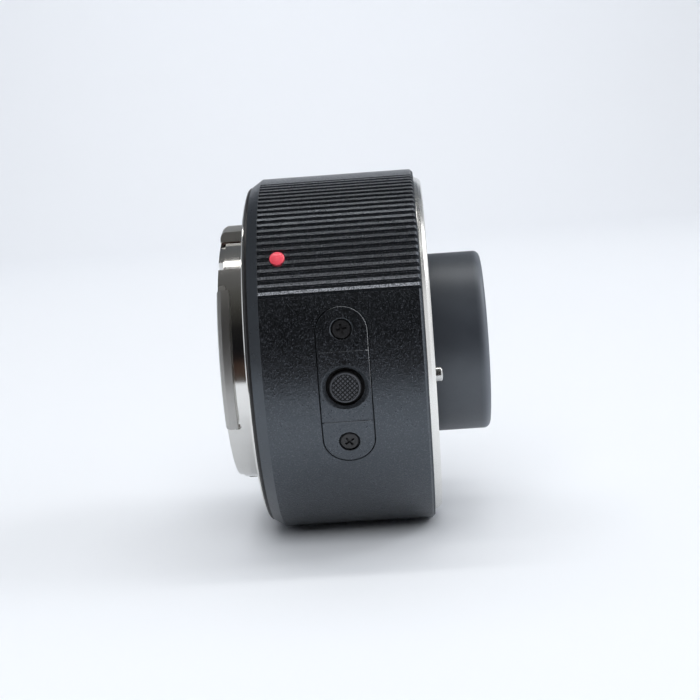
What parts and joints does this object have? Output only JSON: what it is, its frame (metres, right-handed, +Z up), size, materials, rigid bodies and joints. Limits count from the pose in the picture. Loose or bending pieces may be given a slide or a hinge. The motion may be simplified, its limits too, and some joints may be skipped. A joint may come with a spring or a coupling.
{
  "type": "camera teleconverter",
  "caption": "Short black ribbed barrel for use between camera and lens, with a male bayonet behind, a female bayonet and lens nose in front, and a push-button release.",
  "frame": {"origin": "centre of the rear flange seat, on the optical axis", "axes": "+X along the optical axis from the camera side to the lens side, +Z up, -Y towards the lens release button"},
  "size_m": [0.053, 0.0735, 0.0732],
  "materials": {
    "barrel_black": "fine matt textured black coating on light alloy",
    "index_red": "glossy red",
    "gasket_rubber": "black rubber seal",
    "mount_chrome": "polished chromed brass",
    "black_anodised": "satin black anodised light alloy",
    "steel": "bright steel",
    "screw_black": "black oxide steel",
    "contact_gold": "gold plated",
    "plastic_black": "matt black moulded plastic",
    "shim_brass": "thin rolled brass",
    "board_green": "green circuit board",
    "flex_amber": "amber film circuit",
    "lens_glass": "coated optical glass"
  },
  "bodies": {
    "housing": {"barrel_orings": "gasket_rubber", "board_components": "plastic_black", "board_screws": "steel", "button_spring": "steel", "circuit_board": "board_green", "contact_pin_springs": "steel", "core_frame": "black_anodised", "flare_stop": "plastic_black", "flex_circuit": "flex_amber", "front_bayonet_tabs": "mount_chrome", "front_contact_block": "plastic_black", "front_contact_screws": "screw_black", "front_mount_ring": "mount_chrome", "front_mount_screws": "steel", "front_mount_shim": "shim_brass", "front_retaining_ring": "black_anodised", "front_spacer": "black_anodised", "index_dot": "index_red", "lens_element_1": "lens_glass", "lens_element_2": "lens_glass", "lens_element_3": "lens_glass", "lens_element_4": "lens_glass", "lens_element_5": "lens_glass", "lens_element_6": "lens_glass", "lever_bracket": "steel", "lever_bracket_screws": "steel", "lever_pivot_pin": "steel", "lever_spring": "steel", "mount_leaf_springs": "steel", "nose_barrel": "black_anodised", "nose_screws": "steel", "outer_barrel": "barrel_black", "rear_baffle": "plastic_black", "rear_baffle_screws": "screw_black", "rear_bayonet": "mount_chrome", "rear_contact_block": "plastic_black", "rear_contact_pads": "contact_gold", "rear_contact_screws": "screw_black", "rear_gasket": "gasket_rubber", "rear_lens_cell": "black_anodised", "rear_mount_screws": "steel", "rear_mount_shim": "shim_brass", "rear_retaining_ring": "black_anodised", "rear_spacer": "black_anodised", "release_cover": "barrel_black", "release_cover_screws": "screw_black", "release_cover_seal": "gasket_rubber"},
    "button": {"release_button": "black_anodised"},
    "lever": {"release_lever": "steel"},
    "lock": {"lock_pin": "steel"},
    "pin_01": {"contact_pin_01": "contact_gold"},
    "pin_02": {"contact_pin_02": "contact_gold"},
    "pin_03": {"contact_pin_03": "contact_gold"},
    "pin_04": {"contact_pin_04": "contact_gold"},
    "pin_05": {"contact_pin_05": "contact_gold"},
    "pin_06": {"contact_pin_06": "contact_gold"},
    "pin_07": {"contact_pin_07": "contact_gold"},
    "pin_08": {"contact_pin_08": "contact_gold"},
    "pin_09": {"contact_pin_09": "contact_gold"},
    "pin_10": {"contact_pin_10": "contact_gold"}
  },
  "joints": [
    {"name": "release_press", "type": "slide", "parent": "housing", "child": "button", "axis": [0, 0.9965, 0.0837], "range_m": [0, 0.0018], "stiffness_N_per_m": 600, "springref_m": -0.0025, "deforming": ["button_spring"]},
    {"name": "lever_swing", "type": "hinge", "parent": "housing", "child": "lever", "pos_m": [0.02355, -0.02551, -0.00214], "axis": [0, 0.0837, -0.9965], "range_deg": [0, 21.6], "deforming": ["lever_spring"]},
    {"name": "lock_retract", "type": "slide", "parent": "housing", "child": "lock", "axis": [-1, 0, 0], "range_m": [0, 0.00174]},
    {"name": "contact_01_press", "type": "slide", "parent": "housing", "child": "pin_01", "axis": [-1, 0, 0], "range_m": [0, 0.0007], "stiffness_N_per_m": 300, "springref_m": -0.0006, "deforming": ["contact_pin_springs"]},
    {"name": "contact_02_press", "type": "slide", "parent": "housing", "child": "pin_02", "axis": [-1, 0, 0], "range_m": [0, 0.0007], "stiffness_N_per_m": 300, "springref_m": -0.0006, "deforming": ["contact_pin_springs"]},
    {"name": "contact_03_press", "type": "slide", "parent": "housing", "child": "pin_03", "axis": [-1, 0, 0], "range_m": [0, 0.0007], "stiffness_N_per_m": 300, "springref_m": -0.0006, "deforming": ["contact_pin_springs"]},
    {"name": "contact_04_press", "type": "slide", "parent": "housing", "child": "pin_04", "axis": [-1, 0, 0], "range_m": [0, 0.0007], "stiffness_N_per_m": 300, "springref_m": -0.0006, "deforming": ["contact_pin_springs"]},
    {"name": "contact_05_press", "type": "slide", "parent": "housing", "child": "pin_05", "axis": [-1, 0, 0], "range_m": [0, 0.0007], "stiffness_N_per_m": 300, "springref_m": -0.0006, "deforming": ["contact_pin_springs"]},
    {"name": "contact_06_press", "type": "slide", "parent": "housing", "child": "pin_06", "axis": [-1, 0, 0], "range_m": [0, 0.0007], "stiffness_N_per_m": 300, "springref_m": -0.0006, "deforming": ["contact_pin_springs"]},
    {"name": "contact_07_press", "type": "slide", "parent": "housing", "child": "pin_07", "axis": [-1, 0, 0], "range_m": [0, 0.0007], "stiffness_N_per_m": 300, "springref_m": -0.0006, "deforming": ["contact_pin_springs"]},
    {"name": "contact_08_press", "type": "slide", "parent": "housing", "child": "pin_08", "axis": [-1, 0, 0], "range_m": [0, 0.0007], "stiffness_N_per_m": 300, "springref_m": -0.0006, "deforming": ["contact_pin_springs"]},
    {"name": "contact_09_press", "type": "slide", "parent": "housing", "child": "pin_09", "axis": [-1, 0, 0], "range_m": [0, 0.0007], "stiffness_N_per_m": 300, "springref_m": -0.0006, "deforming": ["contact_pin_springs"]},
    {"name": "contact_10_press", "type": "slide", "parent": "housing", "child": "pin_10", "axis": [-1, 0, 0], "range_m": [0, 0.0007], "stiffness_N_per_m": 300, "springref_m": -0.0006, "deforming": ["contact_pin_springs"]}
  ],
  "couplings": [
    {"joint": "lever_swing", "follows": "release_press", "rad_per_m": 208.33},
    {"joint": "lock_retract", "follows": "release_press", "ratio": 0.95833}
  ]
}
